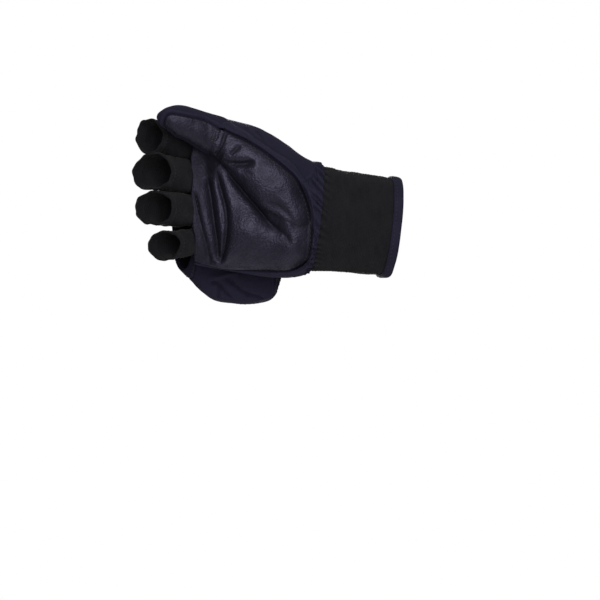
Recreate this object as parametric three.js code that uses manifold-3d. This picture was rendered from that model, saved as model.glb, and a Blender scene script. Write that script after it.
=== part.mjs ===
// A right-hand mountaineering mitten with a leather palm, half-finger stalls and a fold-back hood.
// Millimetres. X runs from the fingers (-) to the cuff (+), Z is up towards the thumb, the palm faces -Y.
// The origin is the middle of the wrist. Every piece is a hollow wall with its own thickness.
import * as THREE from "three";
import { mergeVertices } from "three/addons/utils/BufferGeometryUtils.js";
import Module from "manifold-3d";

const wasm = await Module();
wasm.setup();

// Walls and clearances
const shellWall = 2.0; // leather and softshell
const stretchWall = 1.2; // knitted finger stalls
const liningWall = 1.0;
const clearance = 0.3; // between neighbouring pieces

// Mesh steps
const handSteps = 21;
const handAround = 32;
const thumbSteps = 9;
const thumbAround = 18;
const stallSteps = 4;
const stallAround = 16;
const cuffSteps = 3;
const cuffAround = 26;
const hoodSteps = 10;
const hoodAround = 24;
const liningSteps = 6;
const liningAround = 18;

// Finishes
const finishes = {
  leather: { color: 0x1c1c22, roughness: 0.5, metalness: 0 },
  softshell: { color: 0x20212e, roughness: 0.85, metalness: 0 },
  stretch: { color: 0x131316, roughness: 0.95, metalness: 0 },
  lining: { color: 0x0b0b0d, roughness: 0.95, metalness: 0 },
};

function table(columns, rows) {
  return rows.map((row) => Object.fromEntries(columns.map((name, i) => [name, row[i]])));
}

// Hand tube, one row for each section from the finger bases to the wrist seam.
// top and low are the section's ends on the thumb side and the little-finger side,
// palm and back its depths, and bow leans its palm side towards the cuff.
const sectionColumns = ["topX", "topZ", "lowX", "lowZ", "palm", "back", "bow", "midY"];
const handRows = table(sectionColumns, [
  [-80.5, 62.5, -78, -30.6, 15.5, 15.5, 0, 0],
  [-73, 65, -71.8, -32.1, 16.5, 17, 0, 0],
  [-61, 66.8, -60.4, -34.1, 18, 19, 0, 0],
  [-48, 64.2, -48, -36.2, 18.5, 20, 0, 0],
  [-36, 61, -37, -38, 19, 20.5, 1, 0],
  [-26, 55, -28, -39.2, 19.5, 21.5, 2, 0],
  [-16, 48.6, -18, -39.6, 20.5, 22.5, 3.5, 0],
  [-7, 41.5, -10, -39.2, 22, 23.5, 5, 0],
  [-1, 38, -5.5, -38, 23.5, 24, 5.5, 0],
]);
const handSquareness = 2.35;

// Wrist and cuff, from the wrist seam to the open end
const wristRows = table(sectionColumns, [
  [-0.6, 37.8, -4, -37.4, 23.3, 23.8, 5.8, 0],
  [6, 36.6, -1.5, -37.4, 24.5, 25, 5, 1],
  [24, 33.5, 17, -38, 26.5, 27, 4.5, 4],
  [58, 28.4, 50.6, -40.6, 29, 30, 4, 10],
]);

// The muscle under the thumb, a ridge on the palm from the wrist to the thumb seam
const ridgeRows = table(["x", "z", "y", "radius"], [
  [-8, 7, -6, 13],
  [-24.4, 20.5, -12, 18],
  [-38, 33, -15.5, 15.5],
  [-50, 43.5, -17.5, 13.5],
  [-60, 51, -18.6, 12.4],
]);
const ridgeBlend = 2.5; // height over which ridge and palm run together

// Soft swellings of the palm: centre, half widths and height
const swellingRows = table(["x", "z", "reachX", "reachZ", "height"], [
  [-30, -18, 22, 15, 3.2],
  [-48, 4, 12, 20, 1.6],
  [-64, -8, 6, 22, 2.2],
]);

// Creases of the palm: route as x, z pairs, half width and depth
const creaseRows = table(["route", "width", "depth"], [
  [[[-68, 37], [-54, 30.5], [-43.5, 16], [-33, 3], [-24.5, -6.3], [-15, -9.6]], 5.4, 3.6],
  [[[-56.3, 34.4], [-47, 33.4], [-39, 33.2]], 4.2, 2.4],
  [[[-72, 20], [-70.5, 2], [-69, -14], [-67.5, -27]], 4, 2.4],
  [[[-58.5, 24], [-55, 8], [-54.5, -4], [-57, -17], [-61, -28]], 4.6, 2.8],
]);

// Seam of the leather palm, seen from the front
const palmSeam = [
  [-90, 57], [-79, 57.2], [-64, 58.5], [-54.9, 54.5], [-50.9, 52.5], [-43.6, 49.2], [-31.1, 41.3],
  [-18.6, 30.8], [-8.7, 22.2], [-2.8, 11], [0.5, -4.8], [0.5, -20.7], [-5.4, -30.5],
  [-13.3, -35.2], [-37.7, -35.8], [-54.2, -35.2], [-68.7, -32.5], [-79.3, -29.9], [-90, -28],
];

// Thumb, from inside the palm to its tip: middle of each section, half width and half depth
const thumbRows = table(["x", "z", "y", "width", "depth"], [
  [-49, 45.5, -14, 10, 10],
  [-61.2, 52.1, -18.8, 12.8, 12.4],
  [-70.1, 55.6, -24, 12, 11.6],
  [-79.5, 59.3, -29, 11, 11],
  [-86.5, 61.5, -32, 9.8, 10],
  [-92.5, 62.8, -34, 7.8, 8.4],
  [-97, 63.2, -35, 5, 5.8],
  [-100, 63.2, -35.4, 1.2, 1.6],
]);
const thumbSeam = [
  [-98.5, 50], [-95.5, 57.6], [-94.9, 61.5], [-92.9, 64.1], [-89.7, 64.7], [-85.9, 64.1], [-81.4, 63.4],
  [-76.2, 62.4], [-70, 61.8], [-64, 58.9], [-58.9, 55], [-50, 49], [-50, 30], [-80, 34],
];
const thumbSplitTurn = 0.43; // radians, the thumb's side seam follows its slant towards the palm side
const thumbSplitAt = [-61.2, -17];

// Finger stalls: middle of the base, middle and radius of the mouth, and how far the back stands past the palm side
const stallBaseX = -75.5;
const stallSquareness = 2.8; // of the base, where the stalls lie side by side; the mouths are round
const stallRows = table(["name", "baseZ", "baseWidth", "baseDepth", "x", "y", "z", "radius", "slant"], [
  ["index_stall", 46.6, 8.9, 7.9, -107.5, -15, 53.1, 11, 5],
  ["middle_stall", 26.6, 10.4, 10.6, -106, -19, 29.6, 12, 6.5],
  ["ring_stall", 5.2, 10.4, 10.6, -103.5, -19, 5.4, 11.5, 6.8],
  ["little_stall", -14.6, 8.4, 7.4, -97, -16, -19.4, 9.6, 6],
]);

// Gathered wrist band
const gatherCount = 20;
const gatherHeight = 1.6;
const gatherPoints = 4; // around each gather
const gatherStart = 0.22; // rows of the wrist table
const gatherWall = 1.4;
const cuffStart = 0.5;

// Binding at the open end of the cuff
const bindingWidth = 7;
const bindingWall = 1.4;

// Folded-back hood, from its mouth at the knuckles to its tip. near lies on the back of the hand.
const hoodRows = table(["x", "topZ", "lowZ", "near", "far", "slant"], [
  [-88.5, 36, -34.5, 15.5, 37, 8],
  [-82, 43, -42, 16.6, 38, 5],
  [-75, 47, -49.5, 18.6, 38.5, 2.5],
  [-67, 49, -54.8, 20, 38.5, 1],
  [-56, 50, -56.8, 21, 38, 0],
  [-45, 49.5, -57.6, 21.6, 37.4, 0],
  [-35, 47, -56.6, 22.2, 36.6, 0],
  [-28, 42, -54.2, 22.8, 35.8, 0],
  [-23.5, 35, -48.5, 23.8, 34.8, 0],
  [-20.5, 27, -39, 25.2, 33.4, 0],
  [-18.5, 18, -28, 27.6, 31.4, 0],
]);
const hoodSquareness = 3.2;
const hoodSeamY = 27.8; // the seam between its softshell and leather sides lies in this plane
const hoodRimRow = 0.8; // row of the table where the rim band ends
const hoodRimGap = 0.1;
const liningInset = 1; // inside the hood's wall

// Smooth value of every column at t, which runs from 0 at the first row to rows.length - 1 at the last
function rowAt(rows, t) {
  const i = Math.min(Math.max(Math.floor(t), 0), rows.length - 2);
  const f = t - i;
  const pick = (k) => rows[Math.min(Math.max(k, 0), rows.length - 1)];
  const out = {};
  for (const name of Object.keys(rows[0])) {
    const [a, b, c, d] = [i - 1, i, i + 1, i + 2].map((k) => pick(k)[name]);
    out[name] = b + 0.5 * f * (c - a + f * (2 * a - 5 * b + 4 * c - d + f * (3 * (b - c) + d - a)));
  }
  return out;
}

function smoothstep(low, high, value) {
  const f = Math.min(Math.max((value - low) / (high - low), 0), 1);
  return f * f * (3 - 2 * f);
}

// Larger of two heights, with a rounded valley where they meet
function softMax(a, b, blend) {
  const h = Math.max(blend - Math.abs(a - b), 0) / blend;
  return Math.max(a, b) + h * h * blend * 0.25;
}

// Sine or cosine of a section squared up by the exponent
function squared(value, exponent) {
  return Math.sign(value) * Math.abs(value) ** (2 / exponent);
}

// Nearest place on a route of x, z points: its distance, and how far along it is in segments
function nearestOnRoute(route, x, z) {
  let best = { distance: Infinity, along: 0 };
  for (let i = 0; i < route.length - 1; i++) {
    const [ax, az] = route[i];
    const [bx, bz] = route[i + 1];
    const length2 = (bx - ax) ** 2 + (bz - az) ** 2;
    const f = Math.min(Math.max(((x - ax) * (bx - ax) + (z - az) * (bz - az)) / length2, 0), 1);
    const distance = Math.hypot(x - ax - f * (bx - ax), z - az - f * (bz - az));
    if (distance < best.distance) best = { distance, along: i + f };
  }
  return best;
}

const ridgeRoute = ridgeRows.map((row) => [row.x, row.z]);

function ridgeHeight(x, z) {
  const near = nearestOnRoute(ridgeRoute, x, z);
  const row = rowAt(ridgeRows, near.along);
  const over = near.distance / row.radius;
  if (over < 1) return -row.y + row.radius * Math.sqrt(1 - over * over);
  return -row.y - (near.distance - row.radius) * 2;
}

function swellings(x, z) {
  return swellingRows.reduce((sum, row) => {
    const reach = ((x - row.x) / row.reachX) ** 2 + ((z - row.z) / row.reachZ) ** 2;
    return sum + row.height * Math.exp(-reach);
  }, 0);
}

function creases(x, z) {
  return creaseRows.reduce((sum, row) => {
    const { distance, along } = nearestOnRoute(row.route, x, z);
    const last = row.route.length - 1;
    const ends = smoothstep(0, 0.8, along) * smoothstep(0, 0.8, last - along);
    return sum + row.depth * ends * Math.exp(-((distance / row.width) ** 2));
  }, 0);
}

// Point of a section tube: angle 0 is its top, a quarter turn its palm side
function sectionPoint(row, angle, squareness) {
  const up = squared(Math.cos(angle), squareness);
  const front = squared(Math.sin(angle), squareness);
  const depth = front > 0 ? row.palm : row.back;
  const x = (row.topX + row.lowX) / 2 + (up * (row.topX - row.lowX)) / 2 + row.bow * front;
  const z = (row.topZ + row.lowZ) / 2 + (up * (row.topZ - row.lowZ)) / 2;
  return { x, y: row.midY - depth * front, z, front };
}

function handPoint(t, angle) {
  const p = sectionPoint(rowAt(handRows, t), angle, handSquareness);
  const ease = smoothstep(0, 0.5, p.front) * smoothstep(0, 1.4, handRows.length - 1 - t);
  const height = -p.y;
  const raised = softMax(height, ridgeHeight(p.x, p.z), ridgeBlend);
  const relief = (raised - height + swellings(p.x, p.z) - creases(p.x, p.z)) * ease;
  return new THREE.Vector3(p.x, p.y - relief, p.z);
}

function wristPoint(t, angle) {
  const p = sectionPoint(rowAt(wristRows, t), angle, handSquareness);
  return new THREE.Vector3(p.x, p.y, p.z);
}

function thumbPoint(t, angle) {
  const row = rowAt(thumbRows, t);
  const ahead = rowAt(thumbRows, Math.min(t + 0.05, thumbRows.length - 1));
  const behind = rowAt(thumbRows, Math.max(t - 0.05, 0));
  const along = new THREE.Vector2(ahead.x - behind.x, ahead.z - behind.z).normalize();
  const up = Math.cos(angle) * row.width;
  const front = Math.sin(angle) * row.depth;
  return new THREE.Vector3(row.x + along.y * up, row.y - front, row.z - along.x * up);
}

function stallPoint(stall, t, angle) {
  const bend = t * t * (1.6 - 0.6 * t); // leaves the hand straight, then leans to the palm side
  const spreadX = THREE.MathUtils.lerp(stallBaseX, stall.x, t);
  const centre = new THREE.Vector3(spreadX, stall.y * bend, THREE.MathUtils.lerp(stall.baseZ, stall.z, t));
  const lean = Math.atan2(-stall.y, stallBaseX - stall.x) * t;
  const open = smoothstep(0.15, 0.8, t);
  const width = THREE.MathUtils.lerp(stall.baseWidth, stall.radius, open);
  const depth = THREE.MathUtils.lerp(stall.baseDepth, stall.radius, open);
  const squareness = THREE.MathUtils.lerp(stallSquareness, 2, open);
  const front = squared(Math.sin(angle), squareness);
  const forward = front * depth;
  const along = -front * stall.slant * t;
  return new THREE.Vector3(
    centre.x + forward * Math.sin(lean) - along * Math.cos(lean),
    centre.y - forward * Math.cos(lean) - along * Math.sin(lean),
    centre.z + squared(Math.cos(angle), squareness) * width,
  );
}

function hoodPoint(t, angle) {
  const row = rowAt(hoodRows, t);
  const up = squared(Math.cos(angle), hoodSquareness);
  const front = squared(Math.sin(angle), 2.2);
  const middle = (row.topZ + row.lowZ) / 2;
  const half = (row.topZ - row.lowZ) / 2;
  const depth = (row.far - row.near) / 2;
  return new THREE.Vector3(row.x + row.slant * front, row.near + depth - depth * front, middle + half * up);
}

// Rings of points on a surface of (t, angle), moved off it along its normal
function makeRings(surface, from, to, steps, around, offset) {
  const rings = [];
  const small = 1e-3;
  const leftwards = surface(to, 0).x < surface(from, 0).x ? -1 : 1;
  for (let i = 0; i <= steps; i++) {
    const t = THREE.MathUtils.lerp(from, to, i / steps);
    const ring = [];
    for (let k = 0; k < around; k++) {
      const angle = ((k + 0.5) / around) * 2 * Math.PI;
      const point = surface(t, angle);
      const alongT = surface(t + small, angle).sub(surface(t - small, angle));
      const alongAngle = surface(t, angle + small).sub(surface(t, angle - small));
      const normal = alongAngle.cross(alongT).normalize();
      ring.push(point.addScaledVector(normal, offset * leftwards));
    }
    rings.push(ring);
  }
  return rings;
}

function geometryOf(points, triangles) {
  const geometry = new THREE.BufferGeometry();
  geometry.setAttribute("position", new THREE.Float32BufferAttribute(points.flatMap((p) => [p.x, p.y, p.z]), 3));
  geometry.setIndex(triangles.flat());
  return geometry;
}

function bridge(triangles, startA, startB, around) {
  for (let k = 0; k < around; k++) {
    const next = (k + 1) % around;
    triangles.push([startA + k, startB + k, startA + next]);
    triangles.push([startA + next, startB + k, startB + next]);
  }
}

function centroid(ring) {
  return ring.reduce((sum, p) => sum.add(p), new THREE.Vector3()).divideScalar(ring.length);
}

// Solid of stacked rings, closed by a fan at both ends
function solidOfRings(rings) {
  const around = rings[0].length;
  const points = rings.flat();
  const triangles = [];
  for (let i = 0; i < rings.length - 1; i++) bridge(triangles, i * around, (i + 1) * around, around);
  const first = points.push(centroid(rings[0])) - 1;
  const last = points.push(centroid(rings.at(-1))) - 1;
  const lastStart = (rings.length - 1) * around;
  for (let k = 0; k < around; k++) {
    const next = (k + 1) % around;
    triangles.push([first, k, next]);
    triangles.push([last, lastStart + next, lastStart + k]);
  }
  return outward(geometryOf(points, triangles));
}

// Hollow wall between outer and inner rings, open at its first ring, and at its last unless it is a pouch
function wallOfRings(outer, inner, pouch) {
  const around = outer[0].length;
  const path = pouch ? [...outer, ...inner.toReversed()] : [...outer, ...inner.toReversed(), outer[0]];
  if (!pouch) {
    const points = [...outer, ...inner.toReversed()].flat();
    const triangles = [];
    for (let i = 0; i < path.length - 1; i++) {
      const nextStart = ((i + 1) % (path.length - 1)) * around;
      bridge(triangles, i * around, nextStart, around);
    }
    return outward(geometryOf(points, triangles));
  }
  const points = path.flat();
  const triangles = [];
  const count = outer.length;
  for (let i = 0; i < count - 1; i++) bridge(triangles, i * around, (i + 1) * around, around);
  for (let i = count; i < path.length - 1; i++) bridge(triangles, i * around, (i + 1) * around, around);
  bridge(triangles, (path.length - 1) * around, 0, around);
  const outerTip = points.push(centroid(outer.at(-1))) - 1;
  const innerTip = points.push(centroid(inner.at(-1))) - 1;
  for (let k = 0; k < around; k++) {
    const next = (k + 1) % around;
    triangles.push([outerTip, (count - 1) * around + next, (count - 1) * around + k]);
    triangles.push([innerTip, count * around + k, count * around + next]);
  }
  return outward(geometryOf(points, triangles));
}

// Turns the triangles round if the volume comes out negative
function outward(geometry) {
  const position = geometry.getAttribute("position");
  const index = geometry.index;
  const corner = (i) => new THREE.Vector3().fromBufferAttribute(position, index.getX(i));
  let volume = 0;
  for (let i = 0; i < index.count; i += 3) volume += corner(i).dot(corner(i + 1).cross(corner(i + 2)));
  if (volume > 0) return geometry;
  for (let i = 0; i < index.count; i += 3) {
    const swap = index.getX(i + 1);
    index.setX(i + 1, index.getX(i + 2));
    index.setX(i + 2, swap);
  }
  return geometry;
}

function toManifold(geometry) {
  const bare = geometry.clone();
  bare.deleteAttribute("normal");
  bare.deleteAttribute("uv");
  const merged = mergeVertices(bare, 1e-4);
  const vertProperties = Float32Array.from(merged.getAttribute("position").array);
  const triVerts = Uint32Array.from(merged.index.array);
  return new wasm.Manifold(new wasm.Mesh({ numProp: 3, vertProperties, triVerts }));
}

function toGeometry(solid) {
  const mesh = solid.getMesh();
  const geometry = new THREE.BufferGeometry();
  geometry.setAttribute("position", new THREE.Float32BufferAttribute(mesh.vertProperties, 3));
  geometry.setIndex(new THREE.Uint32BufferAttribute(mesh.triVerts, 1));
  return geometry;
}

// The largest body of a cut, without any sliver beside it
function largestBody(solid) {
  const bodies = solid.decompose();
  return bodies.sort((a, b) => b.volume() - a.volume())[0];
}

// Block with an outline seen from the front, between two depths, grown by an even border
function frontBlock(outline, fromY, toY, border) {
  const points = outline.map(([x, z]) => new THREE.Vector2(x, z));
  const turning = THREE.ShapeUtils.area(points) > 0 ? 1 : -1;
  const grown = points.map((point, i) => {
    const before = points[(i + points.length - 1) % points.length];
    const after = points[(i + 1) % points.length];
    const along = after.clone().sub(before).normalize();
    return new THREE.Vector2(point.x + along.y * border * turning, point.y - along.x * border * turning);
  });
  const geometry = new THREE.ExtrudeGeometry(new THREE.Shape(grown), { depth: toY - fromY, bevelEnabled: false });
  geometry.rotateX(Math.PI / 2);
  geometry.translate(0, toY, 0);
  return toManifold(geometry);
}

// Large block whose rear face passes through a point and turns about the upright axis
function frontHalf([x, y], turn, border) {
  const size = 300;
  const geometry = new THREE.BoxGeometry(size, size, size);
  geometry.translate(0, -size / 2 + border, 0);
  geometry.rotateZ(turn);
  geometry.translate(x, y, 0);
  return toManifold(geometry);
}

const mitten = new THREE.Group();
mitten.name = "mountaineering_mitten";

function addPiece(name, geometry, finish) {
  const mesh = new THREE.Mesh(geometry, new THREE.MeshStandardMaterial(finishes[finish]));
  mesh.name = name;
  mitten.add(mesh);
}

const handEnd = handRows.length - 1;
const thumbEnd = thumbRows.length - 1;

function handRings(offset) {
  return makeRings(handPoint, 0, handEnd, handSteps, handAround, offset);
}

function thumbRings(offset) {
  return makeRings(thumbPoint, 0, thumbEnd - 0.02, thumbSteps, thumbAround, offset);
}

// Hand tube, opened where the thumb starts, then parted along the palm seam
function buildHand() {
  const thumbHollow = toManifold(solidOfRings(thumbRings(-shellWall)));
  const tube = toManifold(wallOfRings(handRings(0), handRings(-shellWall), false)).subtract(thumbHollow);
  const palm = tube.intersect(frontBlock(palmSeam, -80, 0, 0));
  const back = tube.subtract(frontBlock(palmSeam, -80, clearance, clearance));
  addPiece("palm_panel", toGeometry(largestBody(palm)), "leather");
  addPiece("back_shell", toGeometry(largestBody(back)), "softshell");
}

// Thumb, trimmed to the palm and parted along its side seam
function buildThumb() {
  const hand = toManifold(solidOfRings(handRings(clearance)));
  const outer = toManifold(solidOfRings(thumbRings(0)));
  const inner = toManifold(solidOfRings(thumbRings(-shellWall)));
  const thumb = outer.subtract(inner).subtract(hand);
  const pad = frontBlock(thumbSeam, -80, 10, 0).intersect(frontHalf(thumbSplitAt, thumbSplitTurn, 0));
  const grownPad = frontBlock(thumbSeam, -80, 10, clearance)
    .intersect(frontHalf(thumbSplitAt, thumbSplitTurn, clearance));
  addPiece("thumb_pad", toGeometry(largestBody(thumb.intersect(pad))), "leather");
  addPiece("thumb_back", toGeometry(largestBody(thumb.subtract(grownPad))), "softshell");
}

function buildStalls() {
  for (const stall of stallRows) {
    const surface = (t, angle) => stallPoint(stall, t, angle);
    const outer = makeRings(surface, 0, 1, stallSteps, stallAround, 0);
    const inner = makeRings(surface, 0, 1, stallSteps, stallAround, -stretchWall);
    addPiece(stall.name, wallOfRings(outer, inner, false), "stretch");
  }
}

// Elastic band at the wrist, smooth at its seam and gathered towards its free edge
function buildGather() {
  const surface = (t, angle) => {
    const point = wristPoint(t, angle);
    const out = point.clone().sub(wristPoint(t, angle + Math.PI)).normalize();
    const ripple = 0.5 + 0.5 * Math.cos(angle * gatherCount);
    return point.addScaledVector(out, gatherHeight * ripple * smoothstep(0, 0.7, t));
  };
  const around = gatherCount * gatherPoints;
  const outer = makeRings(surface, gatherStart, 1, 2, around, 0);
  const inner = makeRings(wristPoint, gatherStart, 1, 2, around, -gatherWall);
  addPiece("wrist_gather", wallOfRings(outer, inner, false), "softshell");
}

// Black cuff inside the gathered band, with a binding round its open end
function buildCuff() {
  const inset = -(gatherWall + 2 * clearance);
  const end = wristRows.length - 1;
  const outer = makeRings(wristPoint, cuffStart, end, cuffSteps, cuffAround, inset);
  const inner = makeRings(wristPoint, cuffStart, end, cuffSteps, cuffAround, inset - stretchWall);
  addPiece("wrist_cuff", wallOfRings(outer, inner, false), "stretch");
  const bandStart = end - bindingWidth / (wristRows[end].topX - wristRows[end - 1].topX);
  const bandOut = makeRings(wristPoint, bandStart, end, 1, cuffAround, inset + clearance + bindingWall);
  const bandIn = makeRings(wristPoint, bandStart, end, 1, cuffAround, inset + clearance);
  addPiece("cuff_binding", wallOfRings(bandOut, bandIn, false), "softshell");
}

// Hood: a softshell side against the hand, a leather side away from it, a rim band and a black lining
function buildHood() {
  const end = hoodRows.length - 1.02;
  const rings = (offset) => makeRings(hoodPoint, hoodRimRow, end, hoodSteps, hoodAround, offset);
  const pouch = toManifold(wallOfRings(rings(0), rings(-shellWall), true));
  const nearSide = (border) => frontHalf([0, hoodSeamY], 0, border);
  addPiece("hood_palm", toGeometry(largestBody(pouch.subtract(nearSide(0)))), "leather");
  addPiece("hood_back", toGeometry(largestBody(pouch.intersect(nearSide(-clearance)))), "softshell");
  const rim = (offset) => makeRings(hoodPoint, 0, hoodRimRow - hoodRimGap, 1, hoodAround, offset);
  addPiece("hood_rim", wallOfRings(rim(0), rim(-shellWall), false), "softshell");
  const lining = (offset) => makeRings(hoodPoint, hoodRimRow / 2, end - 0.3, liningSteps, liningAround, offset);
  const liningOut = -(shellWall + liningInset);
  addPiece("hood_lining", wallOfRings(lining(liningOut), lining(liningOut - liningWall), true), "lining");
}

buildHand();
buildThumb();
buildStalls();
buildGather();
buildCuff();
buildHood();

export default mitten;
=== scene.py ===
import math
import random
from functools import partial

import bpy
import numpy as np
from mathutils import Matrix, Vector, noise


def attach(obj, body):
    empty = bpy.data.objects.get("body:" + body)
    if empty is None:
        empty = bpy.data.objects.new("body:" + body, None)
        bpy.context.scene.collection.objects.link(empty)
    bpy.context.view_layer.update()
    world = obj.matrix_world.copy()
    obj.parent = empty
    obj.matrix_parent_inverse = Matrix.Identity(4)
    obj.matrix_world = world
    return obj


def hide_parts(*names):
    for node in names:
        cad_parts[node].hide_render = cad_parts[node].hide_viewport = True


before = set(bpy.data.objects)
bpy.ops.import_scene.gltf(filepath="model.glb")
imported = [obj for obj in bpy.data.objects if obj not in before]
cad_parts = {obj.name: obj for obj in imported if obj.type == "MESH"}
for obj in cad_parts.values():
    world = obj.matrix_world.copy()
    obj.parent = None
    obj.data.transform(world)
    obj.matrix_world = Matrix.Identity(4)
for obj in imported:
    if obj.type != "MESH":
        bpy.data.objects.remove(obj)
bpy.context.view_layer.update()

# Mountaineering mitten, worn form, a right one. Tables are in millimetres and become metres when
# a mesh is made. X runs from the stalls to the cuff, Z up to the thumb, the palm faces -Y.
mm = 0.001
print("mitten: CAD frame loaded")

# Camera and studio

studio = {
    "camera": (-8.0, -950.0, -54.9),
    "lens": 85.1,
    "sensor": 36.0,
    "sightEnd": 50000.0,
    "floorDrop": 1600.0,  # below the origin
    "floorSize": 2400.0,
    "floorFinish": {
        "Base Color": (0.95, 0.95, 0.95, 1),
        "Roughness": 0.9,
        "Emission Color": (1, 1, 1, 1),
        "Emission Strength": 0.5,
    },
    "skyLight": 0.045,  # what the white room gives the mitten; the camera sees it pure white
    "lightAim": (-40, 0, 0),
    # name, place, size, watts
    "lights": [
        ("keyLight", (80, -980, 150), 900, 6.9),
        ("upperLight", (220, -900, 560), 700, 3.0),
        ("topLight", (-100, 250, 1000), 700, 1.2),
        ("backLight", (-110, 940, 90), 700, 10.0),
    ],
}


def makeStudio():
    data = bpy.data.cameras.new("camera")
    data.lens = studio["lens"]
    data.sensor_width = studio["sensor"]
    data.clip_end = studio["sightEnd"] * mm
    camera = bpy.data.objects.new("camera", data)
    camera.location = Vector(studio["camera"]) * mm
    camera.rotation_euler = (math.radians(90), 0, 0)
    bpy.context.scene.collection.objects.link(camera)
    bpy.context.scene.camera = camera

    for name, place, size, watts in studio["lights"]:
        light = bpy.data.lights.new(name, "AREA")
        light.size = size * mm
        light.energy = watts
        lamp = bpy.data.objects.new(name, light)
        lamp.location = Vector(place) * mm
        beam = Vector(studio["lightAim"]) - Vector(place)
        lamp.rotation_euler = beam.to_track_quat("-Z", "Y").to_euler()
        bpy.context.scene.collection.objects.link(lamp)

    world = bpy.data.worlds.new("whiteStudio")
    world.use_nodes = True
    tree = world.node_tree
    background = tree.nodes["Background"]
    background.inputs["Color"].default_value = (1, 1, 1, 1)
    seen = addNode(tree, "ShaderNodeLightPath").outputs["Is Camera Ray"]
    tree.links.new(remap(tree, seen, 0, 1, studio["skyLight"], 1.0), background.inputs["Strength"])
    bpy.context.scene.world = world

    half = studio["floorSize"] * mm / 2
    drop = -studio["floorDrop"] * mm
    corners = [(-half, -half, drop), (half, -half, drop), (half, half, drop), (-half, half, drop)]
    mesh = bpy.data.meshes.new("floor")
    mesh.from_pydata(corners, [], [(0, 1, 2, 3)])
    floor = bpy.data.objects.new("floor", mesh)
    bpy.context.scene.collection.objects.link(floor)
    floor.data.materials.append(newMaterial("paleFloor", studio["floorFinish"])[0])
    bpy.context.scene.view_settings.view_transform = "Standard"
    print("mitten: studio ready")


# Node helpers

# A socket is linked; a number or a colour is set on the input itself
def setInput(tree, socket, value):
    if isinstance(value, bpy.types.NodeSocket):
        tree.links.new(value, socket)
    else:
        socket.default_value = value


def addNode(tree, kind, settings=None, **inputs):
    node = tree.nodes.new(kind)
    for key, value in (settings or {}).items():
        setattr(node, key, value)
    for key, value in inputs.items():
        setInput(tree, node.inputs[key.replace("_", " ")], value)
    return node


def newMaterial(name, settings):
    material = bpy.data.materials.new(name)
    material.use_nodes = True
    tree = material.node_tree
    surface = tree.nodes["Principled BSDF"]
    for socket, value in settings.items():
        surface.inputs[socket].default_value = value
    return material, tree, surface


def mathNode(tree, operation, a, b=0.0, c=0.0):
    node = addNode(tree, "ShaderNodeMath", {"operation": operation})
    for socket, value in zip(node.inputs, (a, b, c)):
        setInput(tree, socket, value)
    return node.outputs[0]


# Sum of values, each times its weight
def weighted(tree, *terms):
    total = 0.0
    for value, weight in terms:
        total = mathNode(tree, "MULTIPLY_ADD", value, weight, total)
    return total


def remap(tree, value, fromLow, fromHigh, toLow, toHigh):
    node = addNode(tree, "ShaderNodeMapRange", Value=value, From_Min=fromLow, From_Max=fromHigh,
                   To_Min=toLow, To_Max=toHigh)
    return node.outputs["Result"]


def objectPlace(tree):
    return addNode(tree, "ShaderNodeTexCoord").outputs["Object"]


def noiseNode(tree, place, scale, detail):
    return addNode(tree, "ShaderNodeTexNoise", Vector=place, Scale=scale, Detail=detail).outputs["Fac"]


# How worn each point is, with the painted shade of its hollows and seams, which its piece works out
def wearAndShadeNode(tree):
    return addNode(tree, "ShaderNodeAttribute", {"attribute_name": "wearAndShade"}).outputs["Fac"]


def bumpSurface(tree, surface, height, strength, distance):
    bump = addNode(tree, "ShaderNodeBump", Strength=strength, Distance=distance, Height=height)
    tree.links.new(bump.outputs["Normal"], surface.inputs["Normal"])


def colourSurface(tree, surface, share, dark, light):
    mix = addNode(tree, "ShaderNodeMixRGB", Fac=share, Color1=(*dark, 1), Color2=(*light, 1))
    tree.links.new(mix.outputs["Color"], surface.inputs["Base Color"])


def roughenSurface(tree, surface, value, span, roughness):
    tree.links.new(remap(tree, value, *span, *roughness), surface.inputs["Roughness"])


# Finishes. Scales are in a metre, depths in metres; roughness on the darkest and the palest places

leatherFinish = {
    "dark": (0.0034, 0.0031, 0.0052),
    "light": (0.0145, 0.0132, 0.0218),
    "pebble": 780.0,
    "pebbleDepth": 0.0003,
    "stray": (260.0, 0.0016),  # scale and reach of what makes the pebbles uneven
    "pores": 2600.0,
    "patches": 45.0,
    "roughness": (0.78, 0.44),
    "shine": {"Specular IOR Level": 0.54, "Specular Tint": (0.73, 0.68, 1.0, 1)},
}


def makeLeather():
    material, tree, surface = newMaterial("grainedLeather", leatherFinish["shine"])
    place = objectPlace(tree)
    scale, reach = leatherFinish["stray"]
    stray = addNode(tree, "ShaderNodeTexNoise", Vector=place, Scale=scale, Detail=2.0)
    shifted = addNode(tree, "ShaderNodeVectorMath", {"operation": "MULTIPLY_ADD"})
    for socket, value in zip(shifted.inputs, (stray.outputs["Color"], (reach, reach, reach), place)):
        setInput(tree, socket, value)
    pebbles = addNode(tree, "ShaderNodeTexVoronoi", {"feature": "SMOOTH_F1"}, Vector=shifted.outputs[0],
                      Scale=leatherFinish["pebble"], Smoothness=0.35).outputs["Distance"]
    pores = noiseNode(tree, place, leatherFinish["pores"], 3.0)
    patches = noiseNode(tree, place, leatherFinish["patches"], 4.0)

    height = weighted(tree, (pores, 0.25), (pebbles, -1.1))
    bumpSurface(tree, surface, height, 0.75, leatherFinish["pebbleDepth"])
    # tone: random patches, the pebbles, and the wear attribute, which also carries painted shade in hollows
    # and beside seams
    tone = weighted(tree, (patches, 0.55), (wearAndShadeNode(tree), 0.75), (pebbles, -0.25))
    colourSurface(tree, surface, tone, leatherFinish["dark"], leatherFinish["light"])
    roughenSurface(tree, surface, tone, (-0.3, 0.9), leatherFinish["roughness"])
    return material


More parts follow.
